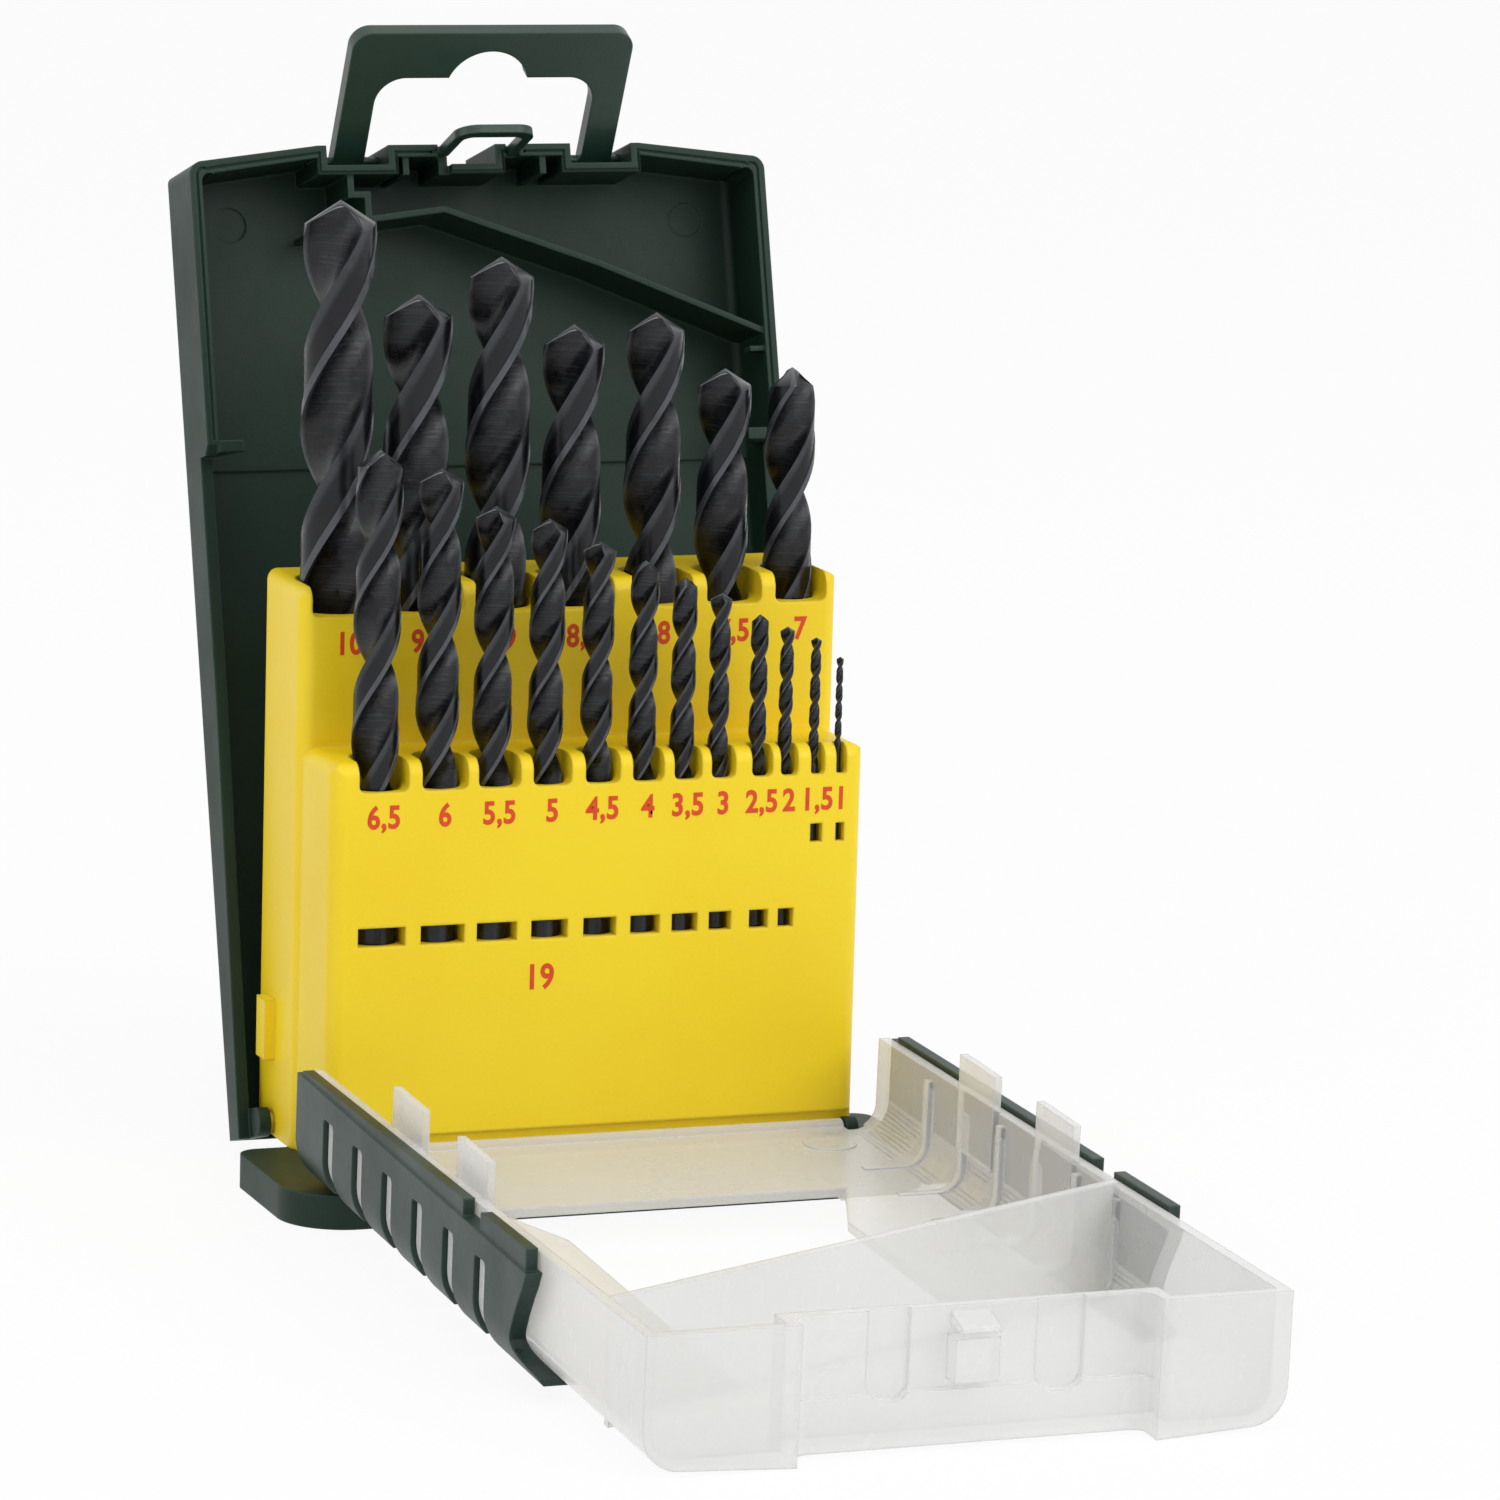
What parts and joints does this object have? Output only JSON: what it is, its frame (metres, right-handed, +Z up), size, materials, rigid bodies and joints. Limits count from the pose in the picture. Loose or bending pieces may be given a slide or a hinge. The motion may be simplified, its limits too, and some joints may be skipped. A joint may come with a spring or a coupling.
{
  "type": "drill bit case",
  "caption": "Standing drill bit case: a stepped holder of twist drill bits on a foot, a leaning back cover with a hanging bail and a latch loop, and a clear lid that folds down in front.",
  "frame": {"origin": "on the floor under the middle of the bit holder, at the foot's underside", "axes": "+X to the right of someone facing the bits, +Y towards the back cover, +Z up"},
  "size_m": [0.0936, 0.2082, 0.156],
  "materials": {
    "foot_plastic": "moulded dark green, fine grain",
    "holder_plastic": "moulded yellow, satin",
    "cover_plastic": "moulded dark green, satin",
    "rim_plastic": "moulded dark green, smooth",
    "lid_plastic": "milky translucent, smooth",
    "grip_plastic": "moulded dark green, grained",
    "bit_steel": "black oxide with brushed flutes"
  },
  "bodies": {
    "case": {"base_foot": "foot_plastic", "bit_holder": "holder_plastic"},
    "cover": {"back_cover": "cover_plastic"},
    "hanger": {"hanger": "rim_plastic"},
    "latch": {"latch_loop": "rim_plastic"},
    "lid": {"lid": "lid_plastic", "grip_left": "grip_plastic", "grip_right": "grip_plastic"},
    "drill_10": {"drill_10": "bit_steel"},
    "drill_9_5": {"drill_9_5": "bit_steel"},
    "drill_9": {"drill_9": "bit_steel"},
    "drill_8_5": {"drill_8_5": "bit_steel"},
    "drill_8": {"drill_8": "bit_steel"},
    "drill_7_5": {"drill_7_5": "bit_steel"},
    "drill_7": {"drill_7": "bit_steel"},
    "drill_6_5": {"drill_6_5": "bit_steel"},
    "drill_6": {"drill_6": "bit_steel"},
    "drill_5_5": {"drill_5_5": "bit_steel"},
    "drill_5": {"drill_5": "bit_steel"},
    "drill_4_5": {"drill_4_5": "bit_steel"},
    "drill_4": {"drill_4": "bit_steel"},
    "drill_3_5": {"drill_3_5": "bit_steel"},
    "drill_3": {"drill_3": "bit_steel"},
    "drill_2_5": {"drill_2_5": "bit_steel"},
    "drill_2": {"drill_2": "bit_steel"},
    "drill_1_5": {"drill_1_5": "bit_steel"},
    "drill_1": {"drill_1": "bit_steel"}
  },
  "joints": [
    {"name": "cover_hinge", "type": "hinge", "parent": "case", "child": "cover", "pos_m": [0, 0.009, 0.0065], "axis": [1, 0, 0], "range_deg": [0, 16]},
    {"name": "lid_hinge", "type": "hinge", "parent": "case", "child": "lid", "pos_m": [0, -0.01556, 0.0068], "axis": [-1, 0, 0], "range_deg": [0, 92.4]},
    {"name": "hanger_pivot", "type": "hinge", "parent": "cover", "child": "hanger", "pos_m": [0, 0.0492, 0.13583], "axis": [1, 0, 0], "range_deg": [-42, 35]},
    {"name": "latch_flex", "type": "hinge", "parent": "cover", "child": "latch", "pos_m": [0, 0.04397, 0.13769], "axis": [1, 0, 0], "range_deg": [-20, 8], "stiffness_Nm_per_rad": 0.02},
    {"name": "drill_10_slide", "type": "slide", "parent": "case", "child": "drill_10", "axis": [0, 0, -1], "range_m": [-0.083, 0]},
    {"name": "drill_9_5_slide", "type": "slide", "parent": "case", "child": "drill_9_5", "axis": [0, 0, -1], "range_m": [-0.083, 0]},
    {"name": "drill_9_slide", "type": "slide", "parent": "case", "child": "drill_9", "axis": [0, 0, -1], "range_m": [-0.083, 0]},
    {"name": "drill_8_5_slide", "type": "slide", "parent": "case", "child": "drill_8_5", "axis": [0, 0, -1], "range_m": [-0.083, 0]},
    {"name": "drill_8_slide", "type": "slide", "parent": "case", "child": "drill_8", "axis": [0, 0, -1], "range_m": [-0.083, 0]},
    {"name": "drill_7_5_slide", "type": "slide", "parent": "case", "child": "drill_7_5", "axis": [0, 0, -1], "range_m": [-0.083, 0]},
    {"name": "drill_7_slide", "type": "slide", "parent": "case", "child": "drill_7", "axis": [0, 0, -1], "range_m": [-0.083, 0]},
    {"name": "drill_6_5_slide", "type": "slide", "parent": "case", "child": "drill_6_5", "axis": [0, 0, -1], "range_m": [-0.061, 0]},
    {"name": "drill_6_slide", "type": "slide", "parent": "case", "child": "drill_6", "axis": [0, 0, -1], "range_m": [-0.0557, 0]},
    {"name": "drill_5_5_slide", "type": "slide", "parent": "case", "child": "drill_5_5", "axis": [0, 0, -1], "range_m": [-0.061, 0]},
    {"name": "drill_5_slide", "type": "slide", "parent": "case", "child": "drill_5", "axis": [0, 0, -1], "range_m": [-0.0559, 0]},
    {"name": "drill_4_5_slide", "type": "slide", "parent": "case", "child": "drill_4_5", "axis": [0, 0, -1], "range_m": [-0.0532, 0]},
    {"name": "drill_4_slide", "type": "slide", "parent": "case", "child": "drill_4", "axis": [0, 0, -1], "range_m": [-0.051, 0]},
    {"name": "drill_3_5_slide", "type": "slide", "parent": "case", "child": "drill_3_5", "axis": [0, 0, -1], "range_m": [-0.0485, 0]},
    {"name": "drill_3_slide", "type": "slide", "parent": "case", "child": "drill_3", "axis": [0, 0, -1], "range_m": [-0.0418, 0]},
    {"name": "drill_2_5_slide", "type": "slide", "parent": "case", "child": "drill_2_5", "axis": [0, 0, -1], "range_m": [-0.0409, 0]},
    {"name": "drill_2_slide", "type": "slide", "parent": "case", "child": "drill_2", "axis": [0, 0, -1], "range_m": [-0.0347, 0]},
    {"name": "drill_1_5_slide", "type": "slide", "parent": "case", "child": "drill_1_5", "axis": [0, 0, -1], "range_m": [-0.0273, 0]},
    {"name": "drill_1_slide", "type": "slide", "parent": "case", "child": "drill_1", "axis": [0, 0, -1], "range_m": [-0.0241, 0]}
  ]
}
